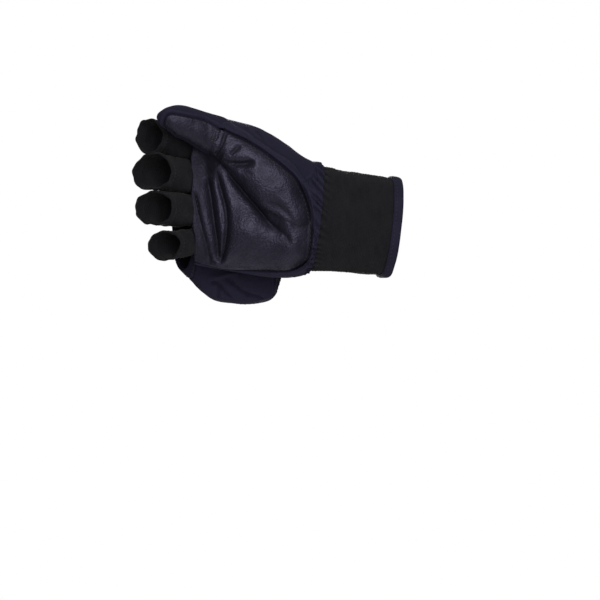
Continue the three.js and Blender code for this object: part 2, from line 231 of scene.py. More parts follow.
softshellFinish = {
    "dark": (0.0093, 0.0085, 0.0182),
    "light": (0.0180, 0.0166, 0.0320),
    "threads": 1500.0,
    "weaveDepth": 0.00007,
    "fuzz": 3200.0,
    "patches": 38.0,
    "roughness": (0.86, 0.72),
    "shine": {
        "Specular IOR Level": 0.22,
        "Specular Tint": (0.68, 0.64, 1.0, 1),
        "Sheen Weight": 0.06,
        "Sheen Tint": (0.68, 0.64, 1.0, 1),
        "Sheen Roughness": 0.5,
    },
}


# Lengths along and round the cloth, as the angles of waves that come so many times in a metre
def clothWaves(tree, alongCount, roundCount):
    lengths = addNode(tree, "ShaderNodeUVMap", {"uv_map": "cloth"}).outputs["UV"]
    split = addNode(tree, "ShaderNodeSeparateXYZ", Vector=lengths)
    along = mathNode(tree, "MULTIPLY", split.outputs["X"], alongCount * 2 * math.pi)
    across = mathNode(tree, "MULTIPLY", split.outputs["Y"], roundCount * 2 * math.pi)
    return along, across


# Woven cloth: two sets of threads that pass over each other
def makeSoftshell():
    material, tree, surface = newMaterial("navySoftshell", softshellFinish["shine"])
    place = objectPlace(tree)
    warp, weft = clothWaves(tree, softshellFinish["threads"], softshellFinish["threads"])
    crossing = mathNode(tree, "MULTIPLY", mathNode(tree, "SINE", warp), mathNode(tree, "SINE", weft))
    weave = mathNode(tree, "MULTIPLY_ADD", crossing, 0.5, 0.5)
    fuzz = noiseNode(tree, place, softshellFinish["fuzz"], 2.0)
    patches = noiseNode(tree, place, softshellFinish["patches"], 5.0)

    height = weighted(tree, (weave, 1.0), (fuzz, 0.6))
    bumpSurface(tree, surface, height, 0.6, softshellFinish["weaveDepth"])
    # tone: random patches, the weave, and the wear attribute, which also carries painted shade in hollows
    tone = weighted(tree, (patches, 0.6), (wearAndShadeNode(tree), 0.6), (weave, 0.18))
    colourSurface(tree, surface, tone, softshellFinish["dark"], softshellFinish["light"])
    roughenSurface(tree, surface, tone, (0.1, 0.9), softshellFinish["roughness"])
    return material


knitFinish = {
    "dark": (0.0022, 0.0021, 0.0029),
    "light": (0.0170, 0.0165, 0.0200),
    "ribs": 1150.0,  # round a stall
    "loops": 900.0,  # along it
    "depth": 0.0003,
    "fuzz": 2400.0,
    "patches": 70.0,
    "roughness": (0.86, 0.76),
    "shine": {"Specular IOR Level": 0.14, "Sheen Weight": 0.04},
}


def makeKnit():
    material, tree, surface = newMaterial("stretchKnit", knitFinish["shine"])
    place = objectPlace(tree)
    along, across = clothWaves(tree, knitFinish["loops"], knitFinish["ribs"])
    rib = mathNode(tree, "ABSOLUTE", mathNode(tree, "SINE", mathNode(tree, "MULTIPLY", across, 0.5)))
    loop = mathNode(tree, "MULTIPLY_ADD", mathNode(tree, "SINE", along), 0.5, 0.5)
    fuzz = noiseNode(tree, place, knitFinish["fuzz"], 3.0)
    patches = noiseNode(tree, place, knitFinish["patches"], 3.0)

    stitch = weighted(tree, (mathNode(tree, "MULTIPLY", rib, loop), 0.7), (rib, 0.3))
    height = weighted(tree, (stitch, 1.0), (fuzz, 0.35))
    bumpSurface(tree, surface, height, 0.7, knitFinish["depth"])
    # tone: the stitches, random patches, and the wear attribute, which also carries painted shade in hollows
    tone = weighted(tree, (stitch, 0.45), (patches, 0.4), (wearAndShadeNode(tree), 0.5))
    colourSurface(tree, surface, tone, knitFinish["dark"], knitFinish["light"])
    roughenSurface(tree, surface, fuzz, (0.2, 0.8), knitFinish["roughness"])
    return material


liningFinish = {
    "dark": (0.002, 0.002, 0.0025),
    "light": (0.007, 0.007, 0.008),
    "nap": 1400.0,
    "napDepth": 0.0003,
    "roughness": (0.98, 0.88),
    "shine": {"Specular IOR Level": 0.15},
}


def makeLining():
    material, tree, surface = newMaterial("brushedLining", liningFinish["shine"])
    nap = noiseNode(tree, objectPlace(tree), liningFinish["nap"], 5.0)
    bumpSurface(tree, surface, nap, 0.8, liningFinish["napDepth"])
    colourSurface(tree, surface, nap, liningFinish["dark"], liningFinish["light"])
    roughenSurface(tree, surface, nap, (0.2, 0.8), liningFinish["roughness"])
    return material


threadFinish = {
    "black": ((0.006, 0.0058, 0.009), (0.022, 0.021, 0.029)),  # dark, light
    "grey": ((0.026, 0.025, 0.034), (0.085, 0.082, 0.105)),
    "twist": 2600.0,
    "twistDepth": 0.0001,
    "roughness": (0.65, 0.5),
}


def makeThread(colour):
    material, tree, surface = newMaterial(colour + "Thread", {})
    ply = noiseNode(tree, objectPlace(tree), threadFinish["twist"], 2.0)
    bumpSurface(tree, surface, ply, 0.5, threadFinish["twistDepth"])
    colourSurface(tree, surface, ply, *threadFinish[colour])
    roughenSurface(tree, surface, ply, (0.2, 0.8), threadFinish["roughness"])
    return material


# Shape helpers, all on arrays of numbers in millimetres

def blendRows(rows, t):
    table = np.array(rows, float)
    last = len(table) - 1
    i = np.clip(np.floor(t).astype(int), 0, last - 1)
    f = (t - i)[..., None]
    a, b, c, d = (table[np.clip(i + k, 0, last)] for k in (-1, 0, 1, 2))
    out = b + 0.5 * f * (c - a + f * (2 * a - 5 * b + 4 * c - d + f * (3 * (b - c) + d - a)))
    return np.moveaxis(out, -1, 0)


def smoothStep(low, high, value):
    f = np.clip((value - low) / (high - low), 0, 1)
    return f * f * (3 - 2 * f)


def squared(value, exponent):
    return np.sign(value) * np.abs(value) ** (2 / exponent)


def softMax(a, b, blend):
    h = np.maximum(blend - np.abs(a - b), 0) / blend
    return np.maximum(a, b) + h * h * blend * 0.25


# A route through given points, with smooth bends
def smoothRoute(points, between=6):
    count = (len(points) - 1) * between + 1
    return np.stack(blendRows(points, np.linspace(0, len(points) - 1, count)), -1)


# Distance to a route (positive on its left), and how far along it from 0 to 1
def nearestOnRoute(route, x, z):
    best = np.full(np.shape(x), 1e9)
    side = np.ones(np.shape(x))
    along = np.zeros(np.shape(x))
    spans = len(route) - 1
    for i in range(spans):
        (ax, az), (bx, bz) = route[i], route[i + 1]
        dx, dz = bx - ax, bz - az
        f = np.clip(((x - ax) * dx + (z - az) * dz) / (dx * dx + dz * dz), 0, 1)
        away = np.hypot(x - ax - f * dx, z - az - f * dz)
        nearer = away < best
        best = np.where(nearer, away, best)
        side = np.where(nearer, np.sign(dx * (z - az) - dz * (x - ax)), side)
        along = np.where(nearer, (i + f) / spans, along)
    return best, side, along


# Depth of creases at x, z. A row: route, half width on its left and right, depth, how far its ends fade
def creaseDepth(rows, x, z):
    total = np.zeros(np.shape(x))
    for route, leftWidth, rightWidth, depth, fade in rows:
        away, side, along = nearestOnRoute(smoothRoute(route), x, z)
        width = np.where(side > 0, leftWidth, rightWidth)
        ends = smoothStep(0, fade, along) * smoothStep(0, fade, 1 - along)
        total += depth * ends * np.exp(-((away / width) ** 1.4))
    return total


# Uneven places of one size
def crumple(points, size, seed):
    flat = points.reshape(-1, 3) / size
    shift = Vector((seed * 7.3, seed * 3.1, seed * 5.7))
    values = [noise.noise(Vector(p) + shift) for p in flat]
    return np.array(values).reshape(points.shape[:-1])


# Uneven places of several sizes. A row: size, seed, height
def crumples(points, rows):
    return sum(height * crumple(points, size, seed) for size, seed, height in rows)


# Outward directions of a tube, whose points lie in rows along it and columns round it
def tubeNormals(points):
    around = np.roll(points, -1, 1) - np.roll(points, 1, 1)
    along = np.gradient(points, axis=0)
    normals = np.cross(around, along)
    normals /= np.maximum(np.linalg.norm(normals, axis=-1, keepdims=True), 1e-9)
    outward = points - points.mean(1, keepdims=True)
    return normals * np.sign((normals * outward).sum())


# A tube with its points moved outward
def raised(points, relief):
    return points + tubeNormals(points) * np.asarray(relief)[..., None]


# Points of a tube at the given rows, evenly spaced round it
def tubeGrid(surface, ts, columns):
    fine = np.linspace(0, 2 * math.pi, 4 * columns + 1)
    points = surface(np.repeat(ts[:, None], len(fine), 1), np.repeat(fine[None, :], len(ts), 0))
    run = np.cumsum(np.linalg.norm(np.diff(points, axis=1), axis=-1), 1)
    run = np.concatenate([np.zeros((len(ts), 1)), run], 1)
    share = np.arange(columns) / columns
    angles = np.array([np.interp(share * row[-1], row, fine) for row in run])
    tGrid = np.repeat(ts[:, None], columns, 1)
    return surface(tGrid, angles), tGrid, angles


# How far each point lies from the line where side is 0, measured along the surface
def seamDistance(side, points):
    around = np.linalg.norm(np.roll(points, -1, 1) - np.roll(points, 1, 1), axis=-1)
    along = np.linalg.norm(np.gradient(points, axis=0), axis=-1)
    slopeAround = (np.roll(side, -1, 1) - np.roll(side, 1, 1)) / np.maximum(around, 1e-6)
    slopeAlong = np.gradient(side, axis=0) / np.maximum(along, 1e-6)
    return np.abs(side) / np.clip(np.hypot(slopeAround, slopeAlong), 0.25, None)


# Groove of a sewn edge with soft shoulders
def seamRelief(distance, depth=1.0, width=0.65, roll=0.3):
    dip = depth * np.exp(-((distance / width) ** 2))
    shoulder = roll * np.exp(-(((distance - 1.7) / 0.9) ** 2))
    return shoulder - dip


# Above 0 in hollows and below 0 on ridges
def hollowness(points, reach):
    rows = np.arange(len(points))
    up = points[np.clip(rows + reach, 0, len(points) - 1)]
    down = points[np.clip(rows - reach, 0, len(points) - 1)]
    mean = (np.roll(points, reach, 1) + np.roll(points, -reach, 1) + up + down) / 4
    return ((mean - points) * tubeNormals(points)).sum(-1)


# Wear and painted shade of a finish: its usual value, less in hollows as painted shade, and uneven places of
# one size
def wearAndShadeAt(points, usual, shadeInHollows, reach, uneven, size, seed):
    return usual - hollowness(points, reach) * shadeInHollows + uneven * crumple(points, size, seed)


# Surface of a tube as one patch: flat arrays of its points and what belongs to them
def tubePatch(points, wearAndShade, closedStart=False, closedEnd=False, rims=(0.9, 0.9)):
    rows, columns = points.shape[:2]
    rim = np.full((rows, columns), 0.9)
    rim[0], rim[-1] = rims
    index = np.arange(rows * columns).reshape(rows, columns)
    faces = np.stack([index[:-1], index[1:], np.roll(index, -1, 1)[1:], np.roll(index, -1, 1)[:-1]], -1)
    faces = faces.reshape(-1, 4).tolist()
    if closedStart:
        faces.append(index[0].tolist())
    if closedEnd:
        faces.append(index[-1, ::-1].tolist())
    along = np.cumsum(np.linalg.norm(np.diff(points, axis=0, prepend=points[:1]), axis=-1).mean(1))
    around = np.linalg.norm(np.roll(points, -1, 1) - points, axis=-1).mean(0)
    across = np.cumsum(around) - around[0]
    lengths = np.stack(np.meshgrid(along, across, indexing="ij"), -1)
    normals = tubeNormals(points)
    a, b, c = (points.reshape(-1, 3)[faces[0][k]] for k in (0, 1, 2))
    if np.dot(np.cross(b - a, c - b), normals.reshape(-1, 3)[faces[0][0]]) < 0:
        faces = [face[::-1] for face in faces]
    return {
        "points": points.reshape(-1, 3),
        "normals": normals.reshape(-1, 3),
        "wearAndShade": np.clip(wearAndShade, 0, 1).reshape(-1),
        "lengths": lengths.reshape(-1, 2),
        "rim": rim.reshape(-1),
        "faces": faces,
        "around": around.sum(),
    }


# Parts a patch along the line where side is 0, cutting through the faces that it crosses
def partPatch(patch, side):
    side = side.reshape(-1)
    side = np.where(np.abs(side) < 1e-5, 1e-5, side)
    layers = {name: [] for name in ("points", "normals", "wearAndShade", "lengths")}
    total = len(side)
    crossings = {}
    halves = ([], [])

    def crossing(a, b):
        key = (min(a, b), max(a, b))
        if key not in crossings:
            f = side[key[0]] / (side[key[0]] - side[key[1]])
            for name, added in layers.items():
                added.append(patch[name][key[0]] * (1 - f) + patch[name][key[1]] * f)
            crossings[key] = total + len(crossings)
        return crossings[key]

    for face in patch["faces"]:
        over = [side[i] > 0 for i in face]
        if all(over) or not any(over):
            halves[0 if over[0] else 1].append(face)
            continue
        loops = ([], [])
        for k, i in enumerate(face):
            n = face[(k + 1) % len(face)]
            loops[0 if over[k] else 1].append(i)
            if over[k] != (side[n] > 0):
                middle = crossing(i, n)
                loops[0].append(middle)
                loops[1].append(middle)
        halves[0].append(loops[0])
        halves[1].append(loops[1])

    whole = {name: np.concatenate([patch[name], np.array(added)]) for name, added in layers.items()}
    whole["rim"] = np.concatenate([patch["rim"], np.full(len(crossings), 0.12)])
    parts = []
    for faces in halves:
        used = np.unique(np.concatenate([np.array(face) for face in faces]))
        renumber = np.zeros(len(whole["rim"]), int)
        renumber[used] = np.arange(len(used))
        part = {name: values[used] for name, values in whole.items()}
        part["faces"] = [renumber[face].tolist() for face in faces]
        part["around"] = patch["around"]
        parts.append(part)
    return parts


# Gives a patch its thickness: an inner skin, and rounded rims along its free edges
def wallPiece(name, patch, wall, material):
    points, normals = patch["points"], patch["normals"]
    count = len(points)
    inner = points - normals * wall
    faces = list(patch["faces"]) + [[i + count for i in face[::-1]] for face in patch["faces"]]

    forward = set()
    for face in patch["faces"]:
        forward.update(zip(face, face[1:] + face[:1]))
    edges = [(a, b) for a, b in forward if (b, a) not in forward]
    away = np.zeros((count, 3))
    for a, b in edges:
        out = np.cross(points[b] - points[a], normals[a])
        away[a] += out
        away[b] += out
    away /= np.maximum(np.linalg.norm(away, axis=-1, keepdims=True), 1e-9)
    rimPoints = sorted({i for edge in edges for i in edge})
    place = {i: k for k, i in enumerate(rimPoints)}
    middle = (points[rimPoints] + inner[rimPoints]) / 2
    bulge = away[rimPoints] * wall / 2 * patch["rim"][rimPoints, None]
    turns = (math.pi / 4, math.pi / 2, math.pi * 3 / 4)
    outward = points[rimPoints] - middle
    loops = [middle + outward * math.cos(turn) + bulge * math.sin(turn) for turn in turns]
    for a, b in edges:
        chainA = [a] + [2 * count + k * len(place) + place[a] for k in range(3)] + [a + count]
        chainB = [b] + [2 * count + k * len(place) + place[b] for k in range(3)] + [b + count]
        for k in range(4):
            faces.append([chainB[k], chainA[k], chainA[k + 1], chainB[k + 1]])

    allPoints = np.concatenate([points, inner] + loops)
    # the inner skin gets 0.3 of the outer value, so it comes out darker
    wearAndShade = np.concatenate([patch["wearAndShade"], patch["wearAndShade"] * 0.3] + [patch["wearAndShade"][rimPoints]] * 3)
    lengths = np.concatenate([patch["lengths"], patch["lengths"]] + [patch["lengths"][rimPoints]] * 3)
    return makeMesh(name, allPoints, faces, material, wearAndShade, lengths, patch["around"])


def makeMesh(name, points, faces, material, wearAndShade=None, lengths=None, around=None):
    mesh = bpy.data.meshes.new(name)
    mesh.from_pydata((np.asarray(points) * mm).tolist(), [], faces)
    if wearAndShade is not None:
        layer = mesh.attributes.new("wearAndShade", "FLOAT", "POINT")
        layer.data.foreach_set("value", np.clip(wearAndShade, 0, 1).astype(np.float32))
    if lengths is not None:
        corners = np.zeros(len(mesh.loops), int)
        mesh.loops.foreach_get("vertex_index", corners)
        starts = np.zeros(len(mesh.polygons), int)
        mesh.polygons.foreach_get("loop_start", starts)
        onCorners = lengths[corners] * mm
        # a face that closes the ring takes both its sides from the same end of the cloth
        furthest = np.maximum.reduceat(onCorners[:, 1], starts)
        sizes = np.diff(np.append(starts, len(corners)))
        gap = np.repeat(furthest, sizes) - onCorners[:, 1]
        onCorners[:, 1] += np.where(gap > around * mm / 2, around * mm, 0)
        mesh.uv_layers.new(name="cloth").data.foreach_set("uv", onCorners.astype(np.float32).ravel())
    mesh.polygons.foreach_set("use_smooth", np.ones(len(mesh.polygons), bool))
    mesh.materials.append(material)
    mesh.update()
    piece = bpy.data.objects.new(name, mesh)
    bpy.context.scene.collection.objects.link(piece)
    return piece


# Cuts a closed helper solid out of a piece
def cutAway(piece, helper):
    modifier = piece.modifiers.new("cut", "BOOLEAN")
    modifier.operation = "DIFFERENCE"
    modifier.solver = "MANIFOLD"
    modifier.object = helper
    graph = bpy.context.evaluated_depsgraph_get()
    mesh = bpy.data.meshes.new_from_object(piece.evaluated_get(graph))
    piece.modifiers.clear()
    old = piece.data
    piece.data = mesh
    mesh.name = piece.name
    bpy.data.meshes.remove(old)


def closedSolid(name, points):
    patch = tubePatch(points, np.zeros(points.shape[:2]), True, True)
    return makeMesh(name, patch["points"], patch["faces"], finishes["lining"])


# Stitches: short threads that lie along a path of points, each with its outward direction
def stitchRow(path, normals, pitch, length, radius, sides=6, rings=5):
    run = np.concatenate([[0], np.cumsum(np.linalg.norm(np.diff(path, axis=0), axis=-1))])
    count = max(int(run[-1] / pitch), 1)
    at = (np.arange(count) + 0.5) * run[-1] / count

    def onPath(where, values):
        return np.stack([np.interp(where, run, values[:, i]) for i in range(3)], -1)

    starts, ends, up = onPath(at - length / 2, path), onPath(at + length / 2, path), onPath(at, normals)
    direction = ends - starts
    direction /= np.maximum(np.linalg.norm(direction, axis=-1, keepdims=True), 1e-9)
    up = up - direction * (up * direction).sum(-1, keepdims=True)
    up /= np.maximum(np.linalg.norm(up, axis=-1, keepdims=True), 1e-9)
    side = np.cross(direction, up)
    f = np.linspace(-1, 1, rings)[None, :, None, None]
    turn = (np.arange(sides) * 2 * math.pi / sides)[None, None, :, None]
    swell = np.sqrt(np.maximum(1 - f * f, 0.08))
    lie, rise, cross = (v[:, None, None, :] for v in (direction, up, side))
    middle = ((starts + ends) / 2)[:, None, None, :] + rise * radius * (0.35 - 0.9 * f * f)
    points = middle + lie * f * length / 2 + radius * swell * (cross * np.cos(turn) + rise * np.sin(turn))
    index = np.arange(count * rings * sides).reshape(count, rings, sides)
    low, high = index[:, :-1], index[:, 1:]
    faces = np.stack([low, high, np.roll(high, -1, 2), np.roll(low, -1, 2)], -1).reshape(-1, 4).tolist()
    faces += index[:, 0].tolist() + index[:, -1, ::-1].tolist()
    return points.reshape(-1, 3), faces


def makeStitches(name, runs, pitch=3.0, length=2.1, radius=0.24, thread="blackThread"):
    points, faces = [], []
    for path, normals in runs:
        if len(path) < 5:
            continue  # no room for a stitch
        rowPoints, rowFaces = stitchRow(path, normals, pitch, length, radius)
        start = sum(len(p) for p in points)
        faces += [[i + start for i in face] for face in rowFaces]
        points.append(rowPoints)
    return makeMesh(name, np.concatenate(points), faces, finishes[thread])


finishes = {
    "leather": makeLeather(),
    "softshell": makeSoftshell(),
    "knit": makeKnit(),
    "lining": makeLining(),
    "blackThread": makeThread("black"),
    "greyThread": makeThread("grey"),
}
print("mitten: finishes ready")
makeStudio()


# Hand of the mitten: one tube for palm and back, parted along the palm seam

hand = {
    # top x, z, low x, z, palm depth, back depth, bow of the palm side, middle y
    "sections": [
        (-80.5, 62.5, -78, -30.6, 15.5, 15.5, 0, 0),
        (-73, 65, -71.8, -32.1, 16.5, 17, 0, 0),
        (-61, 66.8, -60.4, -34.1, 18, 19, 0, 0),
        (-48, 64.2, -48, -36.2, 18.5, 20, 0, 0),
        (-36, 61, -37, -38, 19, 20.5, 1, 0),
        (-26, 55, -28, -39.2, 19.5, 21.5, 2, 0),
        (-16, 48.6, -18, -39.6, 20.5, 22.5, 3.5, 0),
        (-7, 41.5, -10, -39.2, 22, 23.5, 5, 0),
        (-1, 38, -5.5, -38, 23.5, 24, 5.5, 0),
    ],
    "squareness": 2.35,
    "wall": 2.0,
    "edgeRows": 24,  # rows of faces at the free edge, and on the rest
    "rows": 127,
    "columns": 360,
    # the ridge of the palm below the thumb: x, z, y, radius
    "ridge": [
        (-8, 7, -11, 13.5),
        (-24.4, 20.5, -12, 18),
        (-38, 33, -15.5, 15.5),
        (-50, 43.5, -17.5, 13.5),
        (-60, 51, -18.6, 12.4),
    ],
    "ridgeBlend": 8.0,
    "ridgeBlendOnCloth": 17.0,  # wider, where no fold shows
    "ridgeSquareness": 2.7,
    # soft swellings: x, z, half widths, height
    "swellings": [
        (-43, -10, 15, 13.5, 4.6),
        (-14, -8, 8, 19, 3.6),
        (-20, -22, 14, 8, 0.8),
        (-70, 33, 7.5, 9, -2.6),
    ],
    "puff": (2.8, 5.5),  # how far the panel falls towards its seam, and over what width
    "heelPuff": 4.0,  # further fall at the palm's heel, beside the wrist
    # the palm steps down beyond this line, towards the stalls: x, z, then the drop
    "step": [
        (-62.5, -34), (-61.0, -30), (-57.5, -17.8), (-56.2, -5), (-57.4, 8.1), (-60.3, 19.1), (-64, 32),
    ],
    "stepDrop": 3.7,
    # folds of the palm: route, half width on its left and right, depth, how far its ends fade
    "creases": [
        ([(-64.8, 40.2), (-56.8, 32.2), (-52.5, 25.5), (-45.8, 17.6), (-39.7, 10.2), (-33.6, 2.9),
          (-28.1, -3.8)], 1.1, 1.9, 2.2, 0.14),
        ([(-56.8, 32.2), (-52.5, 25.5), (-45.8, 17.6), (-39.7, 10.2), (-33.6, 2.9), (-28.1, -3.8),
          (-23.2, -8.1), (-18.3, -11.7)], 2.2, 5.0, 3.0, 0.28),
        ([(-39.7, 10.2), (-33.6, 2.9), (-28.1, -3.8), (-23.2, -8.1), (-18.3, -11.7), (-15.3, -16),
          (-14.4, -22)], 2.0, 3.6, 1.9, 0.28),
        ([(-34, 11), (-28.7, 8.6), (-23, 7), (-18.6, 4), (-14.1, -1), (-11.5, -8.5), (-11, -14)],
         3.0, 3.0, 1.3, 0.35),
        ([(-38, 10), (-32, 6.5), (-26, 3.0), (-20, -0.5), (-15.5, -5), (-13, -10)], 2.5, 3.5, -1.7, 0.3),
        ([(-61, 37.6), (-55, 34.9), (-48, 34.0), (-42, 34.2), (-36.6, 34.8)], 1.9, 3.2, 3.8, 0.28),
        ([(-54, 36), (-48, 33), (-41, 32.5)], 3.5, 4.5, 1.0, 0.35),
        ([(-48.8, 28.8), (-43.4, 28.0), (-37.5, 26.2)], 1.6, 1.9, 0.8, 0.35),
        ([(-54.1, 38.8), (-50.5, 42), (-46.3, 46.6)], 1.5, 1.6, 1.5, 0.3),
        ([(-56.2, 54.5), (-58.1, 47.1), (-60.7, 42.6), (-63, 39.5)], 0.9, 1.1, 1.5, 0.1),
        ([(-64.5, 41.5), (-62, 39), (-59, 37)], 3.6, 3.6, 2.2, 0.3),
        ([(-78.5, 18), (-76, 5), (-72.6, -9.1), (-69.9, -19.3), (-68.1, -30)], 1.8, 2.4, 2.2, 0.15),
        ([(-69.5, 27), (-67.2, 14.4), (-65.6, 2.7), (-63.9, -9.1), (-62.7, -17.8), (-62.6, -30)],
         1.8, 2.6, 4.8, 0.12),
        ([(-63.4, 31.5), (-60.3, 19.1), (-57.4, 8.1), (-56.1, -1.3), (-56.4, -9.9), (-57.5, -17.8),
          (-59.5, -25.6), (-61.8, -31.5)], 1.6, 2.6, 5.6, 0.14),
        ([(-60.7, 12), (-59.7, 0.3), (-59.0, -9)], 0.9, 0.9, 0.6, 0.4),
    ],
    # folds of the cloth above the palm seam
    "clothFolds": [
        ([(-55.5, 61), (-52, 57.6), (-48, 52.5)], 1.6, 2.2, 0.9, 0.3),
        ([(-45.5, 60), (-40, 54.5), (-35, 47)], 1.5, 2.2, 1.7, 0.3),
        ([(-38, 58), (-33, 52), (-29, 45)], 1.6, 2.2, 1.2, 0.3),
        ([(-30, 52), (-22, 43), (-14, 33)], 2.2, 3.0, 0.5, 0.3),
        ([(2.2, 31), (1.5, 28.8), (-1.4, 24.5), (-5.4, 21.9), (-8.5, 20.4)], 0.7, 0.7, 0.8, 0.15),
    ],
    # palm seam, all round the panel: x, z
    "seam": [
        (-96, -26), (-90, -28), (-79.3, -29.9), (-68.7, -32.5), (-54.2, -35), (-37.7, -35.7), (-24, -36),
        (-13.3, -35.5), (-4.9, -31.1), (-0.6, -24.1), (0.8, -16.2), (0.4, -7.6), (-1, 1.9), (-3.3, 10.5),
        (-7.3, 19.1), (-11.2, 25.4), (-18.6, 32.2), (-31.1, 41.8), (-43.6, 49.4), (-50.9, 52.6),
        (-54.9, 54.5), (-64, 58.5), (-79, 57.2), (-90, 57), (-96, 57),
    ],
    "scallop": 0.3,  # how far the free edge is cut back over each stall, in rows
    "fingerHeights": (46.6, 26.6, 5.2, -14.6),
    "fingerReach": 6.5,
    # uneven places: size, seed, height
    "grain": [(7.0, 1, 0.26), (2.6, 2, 0.08)],
    "drape": [(17.0, 4, 0.9), (6.0, 5, 0.22)],
    # usual wear, how much painted shade goes into hollows, rows a hollow is looked for in, unevenness, its
    # size, seed
    "wearAndShade": (0.45, 2.4, 4, 0.25, 10.0, 3),
    "fingerSideShadeAndDull": 0.5,  # painted shade towards the stalls, where the leather is also duller
}
handEnd = len(hand["sections"]) - 1
ridgeRoute = [(row[0], row[1]) for row in hand["ridge"]]
palmSeam = smoothRoute(hand["seam"], 8)


def sectionPoints(rows, t, angle):
    topX, topZ, lowX, lowZ, palm, back, bow, midY = blendRows(rows, t)
    up = squared(np.cos(angle), hand["squareness"])
    front = squared(np.sin(angle), hand["squareness"])
    depth = np.where(front > 0, palm, back)
    x = (topX + lowX) / 2 + up * (topX - lowX) / 2 + bow * front
    z = (topZ + lowZ) / 2 + up * (topZ - lowZ) / 2
    return x, midY - depth * front, z, front


def ridgeHeight(x, z):
    away, _, along = nearestOnRoute(ridgeRoute, x, z)
    _, _, y, radius = blendRows(hand["ridge"], along * (len(ridgeRoute) - 1))
    over = np.clip(away / radius, 0, 1)
    bulk = hand["ridgeSquareness"]
    inside = -y + radius * np.maximum(1 - over**bulk, 0) ** (1 / bulk)
    return np.where(away < radius, inside, -y - (away - radius) * 2)


# Above 0 on the leather, below 0 on the cloth
def palmSide(x, z, front):
    away, side, _ = nearestOnRoute(palmSeam, x, z)
    return np.minimum(np.where(side > 0, away, -away), front * 60)  # never leather on the far side


def handSurface(t, angle, detailed=False):
    x, y, z, front = sectionPoints(hand["sections"], t, angle)
    ease = smoothStep(0, 0.5, front) * smoothStep(0, 0.9, handEnd - t)
    side = palmSide(x, z, front) if detailed else 0.0
    wider = hand["ridgeBlendOnCloth"] - hand["ridgeBlend"]
    blend = hand["ridgeBlend"] + wider * smoothStep(0, -6, side)
    relief = softMax(-y, ridgeHeight(x, z), blend) + y
    for midX, midZ, reachX, reachZ, height in hand["swellings"]:
        away = ((x - midX) / reachX) ** 2 + ((z - midZ) / reachZ) ** 2
        relief = relief + height * np.exp(-away)
    if detailed:
        fall, reach = hand["puff"]
        fall = fall + hand["heelPuff"] * smoothStep(-18, -6, x) * smoothStep(26, 14, z)  # at the heel
        creases = creaseDepth(hand["creases"], x, z) + fall * np.exp(-np.abs(side) / reach)
        stepX, stepZ = np.array(hand["step"]).T
        past = np.interp(z, stepZ, stepX) - x
        inStep = smoothStep(-1.0, 8.0, past) * (1 - 0.35 * smoothStep(10, 18, past))
        inStep = inStep * smoothStep(45, 30, z) * smoothStep(-34, -26, z)  # fades out above and below
        creases = creases + hand["stepDrop"] * inStep
        folds = creaseDepth(hand["clothFolds"], x, z)
        onLeather = smoothStep(-2.6, 0.2, side)
        relief = relief - creases * onLeather - folds * (1 - onLeather)
    return np.stack([x, y - relief * ease, z], -1)


# The tube of some sections before anything is raised on it
def plainTube(rows, t, angle):
    return np.stack(sectionPoints(rows, t, angle)[:3], -1)


def fingerNotches(z):
    return sum(np.exp(-(((z - height) / hand["fingerReach"]) ** 2)) for height in hand["fingerHeights"])


def makeHand():
    edgeRows = np.linspace(0, 0.9, hand["edgeRows"])
    ts = np.concatenate([edgeRows, np.linspace(0.9, handEnd, hand["rows"])[1:]])
    points, tGrid, angles = tubeGrid(partial(plainTube, hand["sections"]), ts, hand["columns"])
    tGrid = tGrid + hand["scallop"] * fingerNotches(points[..., 2]) * (1 - smoothStep(0, 2.5, tGrid))
    points = handSurface(tGrid, angles, True)
    x, _, z, front = sectionPoints(hand["sections"], tGrid, angles)
    side = palmSide(x, z, front)
    distance = seamDistance(side, points)
    onLeather = smoothStep(-1, 1, side)
    relief = seamRelief(distance, roll=0.6 - 0.5 * onLeather) + crumples(points, hand["grain"]) * onLeather
    relief += crumples(points, hand["drape"]) * (1 - onLeather) * smoothStep(0, 6, distance)
    relief += gatherRelief(points, angles, front) * smoothStep(0.6, 3.5, -side)
    points = raised(points, relief)
    # painted shade: the leather is darker and duller beside its seam, most at the heel, and towards the
    # stalls
    shadeAndDull = (0.25 + 0.55 * smoothStep(-20, -8, x)) * np.exp(-((side / 4.5) ** 2))
    shadeAndDull = shadeAndDull + hand["fingerSideShadeAndDull"] * smoothStep(-54, -66, x)
    wearAndShade = wearAndShadeAt(points, *hand["wearAndShade"]) - onLeather * shadeAndDull
    leather, cloth = partPatch(tubePatch(points, wearAndShade, rims=(0.9, 0.1)), side)
    palm = wallPiece("palmPanel", leather, hand["wall"], finishes["leather"])
    back = wallPiece("backShell", cloth, hand["wall"], finishes["softshell"])
    return palm, back


# Wrist: navy band gathered by an elastic, and the black cuff inside it

